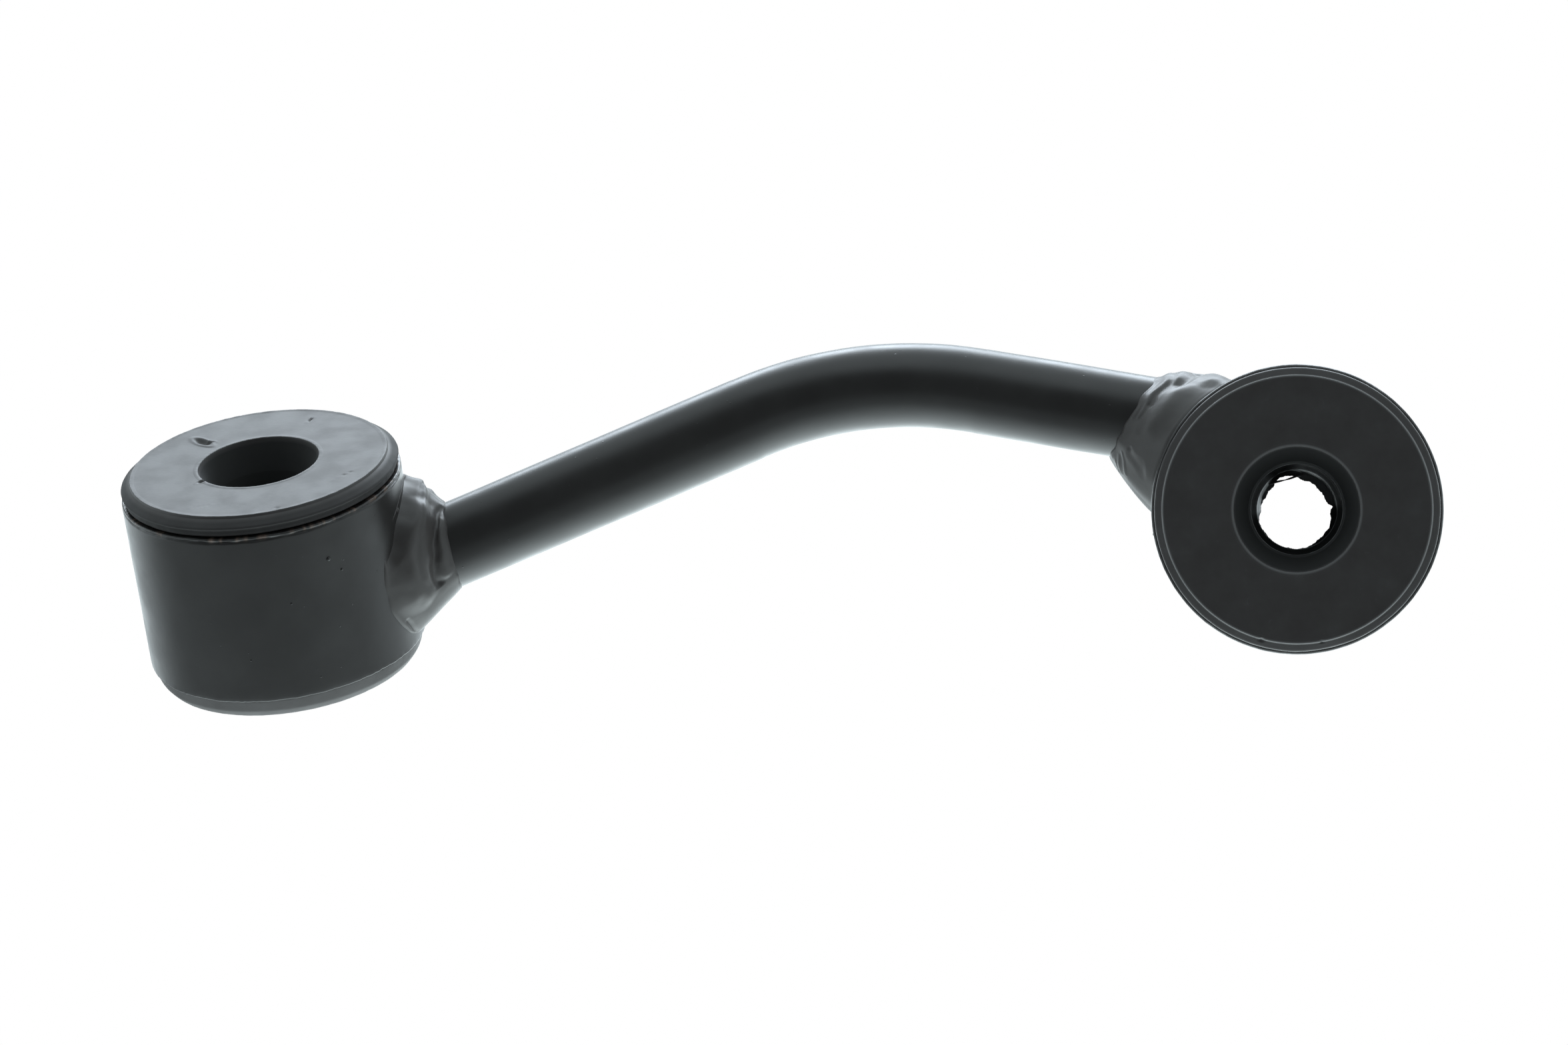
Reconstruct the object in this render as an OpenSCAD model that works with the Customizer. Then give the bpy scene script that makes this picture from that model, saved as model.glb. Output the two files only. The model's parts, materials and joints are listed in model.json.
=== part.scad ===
// Stabiliser bar link: a bent round steel rod with a rubber-bushed tube eye welded on each end.
// Frame: origin at the middle of the right eye, Y along the right eye's bore,
// X along the link from left to right, Z up. The rod's centreline bends in the XZ plane.

/* [Eye rings] */
// Outer diameter of the steel tube
ring_od = 43; // [40:0.5:48]
// Wall thickness of the tube
ring_wall = 3; // [2:0.1:4]
// Length of the tube
ring_len = 27.5; // [22:0.5:32]
// Chamfer on the tube's outer edges
ring_chamfer = 0.8; // [0.2:0.1:1.2]

/* [Rubber bushes] */
// Length of the bush over both faces
bush_len = 33.5; // [33:0.5:40]
// Outer diameter of the lips
lip_d = 42.6; // [41:0.2:43]
// Height of the cone between an end face and its lip's rim
lip_cone = 1.4; // [0.8:0.1:2.4]
// Diameter of the flat end faces
face_d = 39.4; // [36:0.2:40.6]
// Diameter of the bore's mouth in the end face
mouth_d = 18.6; // [16.6:0.2:22]
// Diameter of the narrow waist that grips the pin
waist_d = 12; // [8:0.5:12]
// Length of the waist
waist_len = 6; // [4:0.5:8]
// Diameter of the bore between the waist and the funnels
bore_d = 13.6; // [13:0.2:15.6]
// Depth of the funnel at each end of the bore
funnel_len = 4.8; // [3:0.2:8]
// Gap between rubber and steel, all round and at both ends
bush_gap = 0.05; // [0.02:0.01:0.1]

/* [Rod] */
// Diameter of the rod
rod_d = 13; // [10:0.5:14]
// Radius of the bend along the centreline
bend_r = 63; // [40:1:80]
// Slope of the rod's left leg, rising towards the bend
left_slope = 22.8; // [18:0.2:26]
// Slope of the rod's right leg, falling away from the bend
right_slope = 9.7; // [6:0.1:12]
// Length of the left leg, from the left eye's axis to where the legs' centrelines cross
left_leg = 97.4; // [85:0.5:110]
// Length of the right leg, from beside the right eye's axis to where the centrelines cross
right_leg = 68.8; // [60:0.5:80]
// Distance by which the right leg's centreline passes the right eye's axis
rod_offset = 9.7; // [0:0.1:10]

/* [Left eye] */
// Turn of the left eye about the rod, from square to the bend plane
left_clock = 63.8; // [30:0.2:90]
// Lean of the left eye's axis along the rod, from square to it
left_lean = 17.4; // [0:0.2:18]
// Distance by which the left eye's middle lies past the rod's centreline, along its own axis
left_rise = 9.7; // [0:0.1:9.8]

/* [Welds] */
// Radius of the weld collars where they meet the tubes
weld_r = 10.6; // [9:0.2:11]
// Height of the weld collars above the tubes
weld_len = 7; // [4:0.5:8]

/* [Hidden] */
$fn = 96;
ring_r = ring_od / 2;
rod_r = rod_d / 2;
bend_angle = left_slope + right_slope;
bend_tangent = bend_r * tan(bend_angle / 2);
// Overlap of the legs with the bend, and how much thinner the bend is, as in a cold-bent bar
bend_overlap = 0.5;
bend_thinning = 0.02;
// Chamfer on the rim of the bore's mouth
mouth_edge = 0.4;
// Length of the shoulders on either side of the waist
shoulder_len = 1.5;
steel = [0.05, 0.05, 0.055];
rubber = [0.09, 0.09, 0.095];
// Radius of the weld collars where they close in on the rod
weld_tip_r = rod_r + 0.5;
// Depth of the weld collars' root, inside the tube's surface, before the tube is cut away
weld_root = 5;
// Share of the weld collars' height at which their middle lies exactly on the skewed rod
weld_centred = 0.75;
// Angle between the right leg and the tube's surface normal where they meet
right_skew = asin(rod_offset / ring_r);
// Distance from the legs' ends, out along the rod, to the tubes' surfaces
right_reach = sqrt(ring_r * ring_r - rod_offset * rod_offset);
left_reach = ring_r / cos(left_lean);
// Foot of the right leg, beside the right eye's axis
right_foot = [rod_offset * sin(right_slope), 0, rod_offset * cos(right_slope)];
// Crossing of the two legs' centrelines, above the middle of the bend
corner = right_foot + right_leg * [-cos(right_slope), 0, sin(right_slope)];
// Centre of the bend
bend_centre = corner + bend_tangent * [cos(right_slope), 0, -sin(right_slope)]
    - bend_r * [sin(right_slope), 0, cos(right_slope)];
// Point where the left leg's centreline crosses the left eye's axis
left_foot = corner - left_leg * [cos(left_slope), 0, sin(left_slope)];

// Local Z is the right eye's axis, towards -Y
module at_right_eye() {
    rotate([90, 0, 0])
        children();
}

// Local Z is the left eye's axis, with the tube's middle at local zero
module at_left_eye() {
    translate(left_foot)
        rotate([0, -left_slope, 0])
            rotate([90 - left_clock, 0, 0])
                rotate([0, left_lean, 0])
                    translate([0, 0, left_rise])
                        children();
}

// Local Z runs along the right leg, from its foot towards the bend
module along_right_leg() {
    translate(right_foot)
        rotate([0, right_slope - 90, 0])
            children();
}

// Local Z runs along the left leg, from its foot towards the bend
module along_left_leg() {
    translate(left_foot)
        rotate([0, 90 - left_slope, 0])
            children();
}

// The space that a tube's outside takes up, longer than the tube
module tube_space() {
    cylinder(r = ring_r, h = 2 * ring_len, center = true);
}

module ring() {
    inner_r = ring_r - ring_wall;
    top = ring_len / 2;
    rotate_extrude()
        polygon([
            [inner_r, -top],
            [ring_r - ring_chamfer, -top],
            [ring_r, ring_chamfer - top],
            [ring_r, top - ring_chamfer],
            [ring_r - ring_chamfer, top],
            [inner_r, top]
        ]);
}

// A bush's outline from its middle up to its end face, and down the outside again
upper_outline = [
    [waist_d / 2, waist_len / 2],
    [bore_d / 2, waist_len / 2 + shoulder_len],
    [bore_d / 2, bush_len / 2 - funnel_len],
    [mouth_d / 2 - mouth_edge, bush_len / 2 - mouth_edge],
    [mouth_d / 2, bush_len / 2],
    [face_d / 2, bush_len / 2],
    [lip_d / 2, bush_len / 2 - lip_cone],
    [lip_d / 2, ring_len / 2 + bush_gap],
    [ring_r - ring_wall - bush_gap, ring_len / 2 + bush_gap]
];
last_point = len(upper_outline) - 1;
lower_outline = [for (i = [last_point:-1:0]) [upper_outline[i][0], -upper_outline[i][1]]];

module bush() {
    rotate_extrude()
        polygon(concat(upper_outline, lower_outline));
}

// A cone that stands on a tube's surface at local zero and closes in on the rod, which runs
// along local Z, skewed from the surface's normal. The cone is moved to follow the skewed rod.
module weld_cone(skew) {
    flare = (weld_r - weld_tip_r) / weld_len;
    drift = weld_centred * weld_len * tan(skew);
    rotate([0, skew, 0])
        translate([-drift, 0, -weld_root])
            cylinder(
                r1 = weld_r + flare * weld_root,
                r2 = weld_tip_r,
                h = weld_root + weld_len
            );
}

// The slab that holds a weld between its tube's two ends
module tube_span() {
    cylinder(r = 3 * ring_r, h = ring_len - 2 * ring_chamfer, center = true);
}

// The bend and its two legs, with the bend's centre at local zero and the bend in the XY plane
module bent_bar() {
    rotate_extrude(angle = bend_angle)
        translate([bend_r, 0])
            circle(r = rod_r - bend_thinning);
    translate([bend_r, bend_overlap, 0])
        rotate([90, 0, 0])
            cylinder(r = rod_r, h = right_leg - bend_tangent + bend_overlap);
    rotate([0, 0, bend_angle])
        translate([bend_r, -bend_overlap, 0])
            rotate([-90, 0, 0])
                cylinder(r = rod_r, h = left_leg - bend_tangent + bend_overlap);
}

module link_rod() {
    color(steel)
        difference() {
            translate(bend_centre)
                rotate([90, 0, 0])
                    rotate([0, 0, 90 - right_slope])
                        bent_bar();
            at_left_eye()
                tube_space();
            at_right_eye()
                tube_space();
        }
}

module left_eye_ring() {
    color(steel)
        at_left_eye()
            ring();
}

module right_eye_ring() {
    color(steel)
        at_right_eye()
            ring();
}

module left_bush() {
    color(rubber)
        at_left_eye()
            bush();
}

module right_bush() {
    color(rubber)
        at_right_eye()
            bush();
}

module left_weld() {
    color(steel)
        difference() {
            intersection() {
                along_left_leg()
                    translate([0, 0, left_reach])
                        rotate([0, 0, 90 - left_clock])
                            weld_cone(left_lean);
                at_left_eye()
                    tube_span();
            }
            at_left_eye()
                tube_space();
            along_left_leg()
                cylinder(r = rod_r, h = left_leg);
        }
}

module right_weld() {
    color(steel)
        difference() {
            intersection() {
                along_right_leg()
                    translate([0, 0, right_reach])
                        weld_cone(right_skew);
                at_right_eye()
                    tube_span();
            }
            at_right_eye()
                tube_space();
            along_right_leg()
                cylinder(r = rod_r, h = right_leg);
        }
}

link_rod();
left_eye_ring();
right_eye_ring();
left_bush();
right_bush();
left_weld();
right_weld();
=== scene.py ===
import json
import math
import random

import bmesh
import bpy
import numpy as np
from mathutils import Matrix, Vector, noise


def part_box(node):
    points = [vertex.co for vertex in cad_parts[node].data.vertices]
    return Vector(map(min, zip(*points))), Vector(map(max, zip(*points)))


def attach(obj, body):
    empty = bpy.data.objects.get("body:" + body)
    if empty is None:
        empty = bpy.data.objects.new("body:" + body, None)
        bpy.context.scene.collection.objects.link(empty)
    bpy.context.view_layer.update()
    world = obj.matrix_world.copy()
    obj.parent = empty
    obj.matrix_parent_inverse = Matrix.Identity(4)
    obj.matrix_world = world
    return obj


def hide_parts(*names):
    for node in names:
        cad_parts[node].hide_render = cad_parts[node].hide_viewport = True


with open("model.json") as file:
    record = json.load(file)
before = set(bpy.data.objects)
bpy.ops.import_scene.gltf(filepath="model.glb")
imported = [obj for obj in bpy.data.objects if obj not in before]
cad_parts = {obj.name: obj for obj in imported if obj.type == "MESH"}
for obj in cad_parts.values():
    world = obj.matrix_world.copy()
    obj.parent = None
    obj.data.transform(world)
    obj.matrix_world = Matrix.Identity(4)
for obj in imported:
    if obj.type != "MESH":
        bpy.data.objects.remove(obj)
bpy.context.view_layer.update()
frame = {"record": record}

# A stabiliser bar link: a bent rod with a rubber-bushed tube welded across each end. Shapes
# are worked out in millimetres and turned into metres when a mesh is made.
MM = 0.001
MOUNTS = {mount["name"]: mount for mount in frame["record"]["mounts"]}

# ---------------------------------------------------------------- sizes, in millimetres
# The eyes' tubes
TUBE_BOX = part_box("right_eye_ring")
TUBE_R = TUBE_BOX[1].x / MM
TUBE_HALF = TUBE_BOX[1].y / MM
TUBE_WALL = 3.0
TUBE_BORE_R = TUBE_R - TUBE_WALL
# The bushes, from the waist out along the bore to the mouth, the end face and the lip
BUSH_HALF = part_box("right_bush")[1].y / MM
WAIST_R = MOUNTS["right_bush_bore"]["dims"]["r_mm"]
WAIST_HALF = MOUNTS["right_bush_bore"]["dims"]["length_mm"] / 2
SHOULDER = 1.5
BORE_R = 6.8
FUNNEL = 4.8
MOUTH_R = 9.3
FACE_R = 19.7
LIP_R = 21.1
BUSH_GAP = 0.05
# The rod: its slopes, and its legs from the eyes to where their centrelines cross
ROD_R = 6.5
BEND_R = 63.0
LEFT_SLOPE = math.radians(22.8)
RIGHT_SLOPE = math.radians(9.7)
RIGHT_LEG = 68.8
LEFT_LEG = 97.4
# How far the right leg's centreline passes from the right eye's axis
ROD_OFFSET = 9.7

# ---------------------------------------------------------------- fineness of the meshes
# Points round a tube or bush, round the rod, and round and over a weld
AROUND = 380
ROD_AROUND = 128
WELD_AROUND = 420
WELD_OVER = 64
# Rings along the loose strand of flash, and points round it
STRAND_RINGS = 40
STRAND_AROUND = 14
# Distance between rings on the rod's straight legs, in millimetres, and rings on its bend
ROD_STEP = 0.8
BEND_RINGS = 60
# Longest step round a fillet of an outline, in millimetres
FILLET_STEP = 0.12
# The bushes' lower halves are seen less closely, so their outlines take longer steps.
LOWER_COARSER = 2.2


# ---------------------------------------------------------------- small helpers
def unit(vector):
    return vector / np.linalg.norm(vector)


def smooth_step(value, low, high):
    """0 up to low, 1 from high on, and a smooth rise between them."""
    share = np.clip((value - low) / (high - low), 0, 1)
    return share * share * (3 - 2 * share)


def bump(value, centre, half_width):
    """1 at the centre, falling smoothly to 0 at half_width to either side."""
    return 1 - smooth_step(np.abs(value - centre), 0, half_width)


def turn_gap(angle, centre):
    """The angle from centre, wrapped to between -pi and pi."""
    return (angle - centre + math.pi) % (2 * math.pi) - math.pi


def noise_at(points, size, seed):
    """Smooth noise from -1 to 1 at each point, with features of about that size."""
    shift = Vector((17.3 * seed, 5.1 * seed, -9.7 * seed))
    flat = points.reshape(-1, 3) / size
    values = [noise.noise(Vector(point) + shift) for point in flat]
    return np.array(values).reshape(points.shape[:-1])


def ring_noise(angle, lumps, seed):
    """Noise round a circle, without a seam, with about that many lumps."""
    circle = np.stack([np.cos(angle), np.sin(angle), np.zeros_like(angle)], -1)
    return noise_at(circle * lumps / math.pi, 1.0, seed)


def loop_through(angle, values):
    """A smooth closed curve through values given at equal steps round the circle."""
    count = len(values)
    place = (angle / (2 * math.pi) * count) % count
    index = np.floor(place).astype(int)
    share = place - index
    values = np.array(values, float)
    before, here, after, later = (values[(index + k) % count] for k in (-1, 0, 1, 2))
    slope_here = (after - before) / 2
    slope_after = (later - here) / 2
    share_2, share_3 = share**2, share**3
    return (
        (2 * share_3 - 3 * share_2 + 1) * here
        + (share_3 - 2 * share_2 + share) * slope_here
        + (3 * share_2 - 2 * share_3) * after
        + (share_3 - share_2) * slope_after
    )


def soft_limit(value, limit, ease):
    """The value, eased in so that it never passes the limit on either side."""
    size = np.abs(value)
    over = np.maximum(size - (limit - ease), 0)
    return np.sign(value) * (np.minimum(size, limit - ease) + ease * np.tanh(over / ease))


def rounded_outline(corners):
    """A closed outline through corners (r, z, fillet radius, step to the next corner)."""
    count = len(corners)
    points = []
    for index, (r, z, fillet, step) in enumerate(corners):
        here = np.array((r, z))
        back = unit(np.array(corners[index - 1][:2]) - here)
        ahead = unit(np.array(corners[(index + 1) % count][:2]) - here)
        half = 0.5 * math.acos(np.clip(back @ ahead, -1, 1))
        if fillet > 0:
            centre = here + unit(back + ahead) * fillet / math.sin(half)
            reach = fillet / math.tan(half)
            start = here + back * reach - centre
            end = here + ahead * reach - centre
            sweep = math.pi - 2 * half
            pieces = max(3, math.ceil(fillet * sweep / min(step, FILLET_STEP)))
            for part in np.linspace(0, 1, pieces + 1):
                mix = math.sin((1 - part) * sweep) * start + math.sin(part * sweep) * end
                points.append((centre + mix / math.sin(sweep), step))
        else:
            points.append((here, step))
    outline = []
    for index, (point, step) in enumerate(points):
        following = points[(index + 1) % len(points)][0]
        pieces = max(1, math.ceil(np.linalg.norm(following - point) / step))
        for part in range(pieces):
            outline.append(point + (following - point) * part / pieces)
    return np.array(outline)


def torus_faces(rows, columns):
    """Quads of a grid whose rows and columns both close on themselves."""
    row, column = np.meshgrid(np.arange(rows), np.arange(columns), indexing="ij")
    next_row, next_column = (row + 1) % rows, (column + 1) % columns
    corners = [
        row * columns + column,
        next_row * columns + column,
        next_row * columns + next_column,
        row * columns + next_column,
    ]
    return np.stack(corners, -1).reshape(-1, 4)


def tube_faces(rows, columns):
    """Quads of a grid whose columns close on themselves and whose rows don't."""
    return torus_faces(rows, columns)[: (rows - 1) * columns]


def make_piece(name, points, faces, material, slot, body, *replaced):
    """A closed piece from points in millimetres, in the frame that it shares with the CAD."""
    mesh = bpy.data.meshes.new(name)
    mesh.from_pydata((points.reshape(-1, 3) * MM).tolist(), [], [list(face) for face in faces])
    mesh.update()
    face_outwards(mesh)
    return add_piece(name, mesh, material, slot, body, *replaced)


def add_piece(name, mesh, material, slot, body, *replaced):
    """A smooth piece of that mesh, which rides on a body and may replace CAD nodes."""
    mesh.polygons.foreach_set("use_smooth", [True] * len(mesh.polygons))
    mesh.materials.append(material)
    piece = bpy.data.objects.new(name, mesh)
    bpy.context.scene.collection.objects.link(piece)
    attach(piece, body)
    if replaced:
        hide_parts(*replaced)
    return piece


def face_outwards(mesh):
    """Turns the whole closed mesh over if its volume comes out negative."""
    corners = np.zeros(len(mesh.vertices) * 3)
    mesh.vertices.foreach_get("co", corners)
    corners = corners.reshape(-1, 3)
    mesh.calc_loop_triangles()
    triangles = np.zeros(len(mesh.loop_triangles) * 3, int)
    mesh.loop_triangles.foreach_get("vertices", triangles)
    a, b, c = (corners[triangles.reshape(-1, 3)[:, k]] for k in range(3))
    if np.einsum("ij,ij->i", a, np.cross(b, c)).sum() < 0:
        mesh.flip_normals()


def hold_values(piece, name, values):
    """Gives each of the piece's points a value, for its material to read."""
    attribute = piece.data.attributes.new(name, "FLOAT", "POINT")
    attribute.data.foreach_set("value", values.ravel())


# ---------------------------------------------------------------- where the eyes and the rod are
class Eye:
    """An eye's own frame: z along its axis, x to the right and y up or away."""

    def __init__(self, mount, towards):
        self.centre = np.array(MOUNTS[mount]["pos_m"]) / MM
        self.z = unit(np.array(MOUNTS[mount]["axis"], float) * towards)
        self.x = unit(np.array((1.0, 0, 0)) - self.z * self.z[0])
        self.y = np.cross(self.z, self.x)
        self.axes = np.stack([self.x, self.y, self.z])

    def world(self, points):
        return points @ self.axes + self.centre

    def local(self, points):
        return (points - self.centre) @ self.axes.T

    def local_direction(self, direction):
        return self.axes @ direction


RIGHT_EYE = Eye("right_bush_bore", -1)
LEFT_EYE = Eye("left_bush_bore", 1)

TO_LEFT = np.array((-math.cos(RIGHT_SLOPE), 0, math.sin(RIGHT_SLOPE)))
TO_RIGHT = np.array((math.cos(LEFT_SLOPE), 0, math.sin(LEFT_SLOPE)))
RIGHT_FOOT = ROD_OFFSET * np.array((math.sin(RIGHT_SLOPE), 0, math.cos(RIGHT_SLOPE)))
LEGS_CROSS = RIGHT_FOOT + RIGHT_LEG * TO_LEFT
LEFT_FOOT = LEGS_CROSS - LEFT_LEG * TO_RIGHT
BEND_TANGENT = BEND_R * math.tan((LEFT_SLOPE + RIGHT_SLOPE) / 2)


def rod_lines(eye, foot, direction, angle):
    """Lines along the rod's surface: starts, direction and normals, in the eye's own frame.

    Angle 0 is the rod's upper side, and it turns about the rod's direction."""
    upper = unit(np.array((0, 0, 1.0)) - direction * direction[2])
    side = np.cross(direction, upper)
    outward = np.cos(angle)[..., None] * upper + np.sin(angle)[..., None] * side
    start = eye.local(foot + ROD_R * outward)
    return start, eye.local_direction(direction), outward @ eye.axes.T


def reach_to_tube(start, direction, tube_radius):
    """The distance along each line at which it comes out of the tube's cylinder."""
    a = direction[0] ** 2 + direction[1] ** 2
    b = start[..., 0] * direction[0] + start[..., 1] * direction[1]
    c = start[..., 0] ** 2 + start[..., 1] ** 2 - tube_radius**2
    return (-b + np.sqrt(b * b - a * c)) / a


# ---------------------------------------------------------------- materials
def new_material(name, **sockets):
    """A Principled material whose constant values sit on the shader's own sockets."""
    material = bpy.data.materials.new(name)
    material.use_nodes = True
    shader = material.node_tree.nodes["Principled BSDF"]
    for socket, value in sockets.items():
        shader.inputs[socket.replace("_", " ")].default_value = value
    return material, material.node_tree, shader


def add_noise(tree, size, detail=4.0, rough=0.55, distort=0.0):
    """Noise over the piece's own coordinates, with features of that size in metres."""
    coordinates = tree.nodes.new("ShaderNodeTexCoord")
    texture = tree.nodes.new("ShaderNodeTexNoise")
    texture.inputs["Scale"].default_value = 1 / size
    texture.inputs["Detail"].default_value = detail
    texture.inputs["Roughness"].default_value = rough
    texture.inputs["Distortion"].default_value = distort
    tree.links.new(coordinates.outputs["Object"], texture.inputs["Vector"])
    return texture.outputs["Fac"]


def add_range(tree, value, low, high, to_low, to_high):
    """The value's span from low to high, stretched to another span and held there."""
    node = tree.nodes.new("ShaderNodeMapRange")
    node.interpolation_type = "SMOOTHSTEP"
    node.inputs["From Min"].default_value = low
    node.inputs["From Max"].default_value = high
    node.inputs["To Min"].default_value = to_low
    node.inputs["To Max"].default_value = to_high
    tree.links.new(value, node.inputs["Value"])
    return node.outputs["Result"]


def add_maths(tree, operation, first, second):
    """One maths step on two values, each a socket or a number."""
    node = tree.nodes.new("ShaderNodeMath")
    node.operation = operation
    for socket, value in zip(node.inputs, (first, second)):
        if isinstance(value, (int, float)):
            socket.default_value = value
        else:
            tree.links.new(value, socket)
    return node.outputs[0]


def add_colours(tree, value, *stops):
    """A colour ramp over the value, with stops (place, red, green, blue)."""
    ramp = tree.nodes.new("ShaderNodeValToRGB")
    elements = ramp.color_ramp.elements
    while len(elements) < len(stops):
        elements.new(0.5)
    for element, (place, *colour) in zip(elements, stops):
        element.position = place
        element.color = (*colour, 1)
    tree.links.new(value, ramp.inputs["Fac"])
    return ramp.outputs["Color"]


def add_mesh_value(tree, name):
    """A value that each of the mesh's points holds."""
    node = tree.nodes.new("ShaderNodeAttribute")
    node.attribute_name = name
    return node.outputs["Fac"]


def add_mix(tree, share, first, second):
    """The first colour, mixed with a second fixed one by the share."""
    node = tree.nodes.new("ShaderNodeMixRGB")
    node.inputs["Color2"].default_value = (*second, 1)
    tree.links.new(share, node.inputs["Fac"])
    tree.links.new(first, node.inputs["Color1"])
    return node.outputs["Color"]


def add_bump(tree, shader, *layers):
    """Bump layers (height, distance in metres), one on top of the other."""
    normal = None
    for height, distance in layers:
        node = tree.nodes.new("ShaderNodeBump")
        node.inputs["Distance"].default_value = distance
        tree.links.new(height, node.inputs["Height"])
        if normal is not None:
            tree.links.new(normal, node.inputs["Normal"])
        normal = node.outputs["Normal"]
    tree.links.new(normal, shader.inputs["Normal"])


# Each shade is (place on the ramp, red, green, blue).
PAINT_SHADES = (
    (0.3, 0.0135, 0.012, 0.0115),
    (0.55, 0.0175, 0.016, 0.0155),
    (0.8, 0.023, 0.0215, 0.0205),
)
RUBBER_SHADES = (
    (0.3, 0.0275, 0.0235, 0.023),
    (0.6, 0.035, 0.0315, 0.031),
    (0.9, 0.05, 0.048, 0.049),
)
RUSTY_STEEL = (0.13, 0.09, 0.07)
# Painted shade: the darker colour given to the rubber inside the bore, in the groove under the lip
# and on a shaded upper lip
PAINTED_SHADE_RUBBER = (0.012, 0.012, 0.012)
# Painted highlight: the lighter colour given to the edges of the end faces, the mouth's rim and two
# arcs of the waist
PAINTED_HIGHLIGHT_RUBBER = (0.2, 0.2, 0.2)


def paint_material(name, painted_light, rough_low, rough_high, grain):
    """Black satin dip paint over steel: soft orange peel, less glossy patches and a few nibs.

    Its shades are multiplied by the given factor; above 1 that is painted light, a lighter copy of
    the same paint. Grain is the depth of its orange peel in metres. The mesh value "chipped" shows
    rusty steel through it, on a piece that has it."""
    material, tree, shader = new_material(name, IOR=1.5)
    patches = add_noise(tree, 0.009, detail=6)
    shades = [(place, *(painted_light * part for part in shade)) for place, *shade in PAINT_SHADES]
    colour = add_colours(tree, patches, *shades)
    colour = add_mix(tree, add_mesh_value(tree, "chipped"), colour, RUSTY_STEEL)
    tree.links.new(colour, shader.inputs["Base Color"])
    clouds = add_noise(tree, 0.006, detail=3)
    rough = add_range(tree, clouds, 0.3, 0.7, rough_low, rough_high)
    tree.links.new(rough, shader.inputs["Roughness"])
    peel = add_noise(tree, 0.0016, detail=1.5)
    nibs = add_range(tree, add_noise(tree, 0.0006, detail=1), 0.76, 0.86, 0, 1)
    add_bump(tree, shader, (peel, grain), (nibs, 0.00003))
    return material


def rubber_material():
    """Moulded black rubber: matt, mottled with bloom, with a few light scuffs.

    Two mesh values, from 0 to 1, change it. One is painted shade: it darkens and roughens the rubber
    inside the bore, in the groove under the lip and on a shaded upper lip. The other is a painted
    highlight: it lightens and polishes the edges of the end faces and two arcs of the waist."""
    material, tree, shader = new_material("black_rubber", IOR=1.52)
    bloom = add_noise(tree, 0.0045, detail=5, rough=0.6)
    scuffs = add_noise(tree, 0.0011, detail=4, distort=0.6)
    marks = add_range(tree, scuffs, 0.66, 0.78, 0, 0.25)
    colour = add_colours(tree, add_maths(tree, "ADD", bloom, marks), *RUBBER_SHADES)
    # Painted shade: darkens the colour and raises the roughness where the mesh holds shade
    painted_shade = add_mesh_value(tree, "painted_shade")
    colour = add_mix(tree, painted_shade, colour, PAINTED_SHADE_RUBBER)
    # Painted highlight: lightens the colour, with a lower roughness for the polish
    wear_and_highlight = add_mesh_value(tree, "wear_and_highlight")
    colour = add_mix(tree, wear_and_highlight, colour, PAINTED_HIGHLIGHT_RUBBER)
    tree.links.new(colour, shader.inputs["Base Color"])
    clouds = add_range(tree, add_noise(tree, 0.004, detail=4), 0.35, 0.7, 0.52, 0.57)
    rough = add_maths(tree, "ADD", clouds, add_maths(tree, "MULTIPLY", painted_shade, 0.34))
    rough = add_maths(tree, "SUBTRACT", rough, add_maths(tree, "MULTIPLY", wear_and_highlight, 0.2))
    tree.links.new(rough, shader.inputs["Roughness"])
    grain = add_noise(tree, 0.0006, detail=2)
    add_bump(tree, shader, (grain, 0.000008))
    return material


PAINT = paint_material(
    "black_satin_coat", painted_light=1.0, rough_low=0.3, rough_high=0.38, grain=0.000008
)
# The weld's coat is the same black paint made 2.8 times lighter: painted light standing in for the
# light the lumpy bead catches.
WELD_PAINT = paint_material(
    "black_coat_on_weld", painted_light=2.8, rough_low=0.38, rough_high=0.48, grain=0.00001
)
RUBBER = rubber_material()


# ---------------------------------------------------------------- the link's rod
# Clear space between a tube and the first even ring of the rod, and how deep the rod's ends
# sit in the tubes' walls
END_CLEAR = 6.0
END_SUNK = 0.8
# How much the bend is flattened, and how much it spreads to the sides, as shares of the radius
BEND_FLATTENED = 0.014
BEND_SPREAD = 0.004
# Lengths over which the flattening fades, on the leg's side and on the bend's side
FADE_ON_LEG = 8
FADE_ON_BEND = 6


def bent_share(place, bend_start):
    """How bent the rod is at a place along its leg, from 0 on the leg to 1 in the bend."""
    return smooth_step(place, bend_start - FADE_ON_LEG, bend_start + FADE_ON_BEND)


def rod_centres():
    """The rod's centreline from the right eye to the left: points, directions and bent shares."""
    bend = LEFT_SLOPE + RIGHT_SLOPE
    bend_start = LEGS_CROSS - TO_LEFT * BEND_TANGENT
    bend_centre = bend_start - BEND_R * unit(RIGHT_FOOT)
    points, directions, bends = [], [], []
    right_end, left_end = RIGHT_LEG - BEND_TANGENT, LEFT_LEG - BEND_TANGENT
    for place in np.arange(TUBE_R + END_CLEAR, right_end, ROD_STEP):
        points.append(RIGHT_FOOT + TO_LEFT * place)
        directions.append(TO_LEFT)
        bends.append(bent_share(place, right_end))
    for turned in np.linspace(0, bend, BEND_RINGS):
        slope = RIGHT_SLOPE - turned
        outward = np.array((math.sin(slope), 0, math.cos(slope)))
        points.append(bend_centre + BEND_R * outward)
        directions.append(np.array((-math.cos(slope), 0, math.sin(slope))))
        bends.append(1.0)
    for place in np.arange(left_end, TUBE_R + END_CLEAR, -ROD_STEP)[1:]:
        points.append(LEFT_FOOT + TO_RIGHT * place)
        directions.append(-TO_RIGHT)
        bends.append(bent_share(place, left_end))
    return np.array(points), np.array(directions), np.array(bends)


def rod_end(eye, foot, direction, angle):
    """The loop where the rod ends, inside the tube's wall."""
    start, along, _ = rod_lines(eye, foot, direction, angle)
    reach = reach_to_tube(start, along, TUBE_R - END_SUNK)
    return eye.world(start + reach[:, None] * along)


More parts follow.
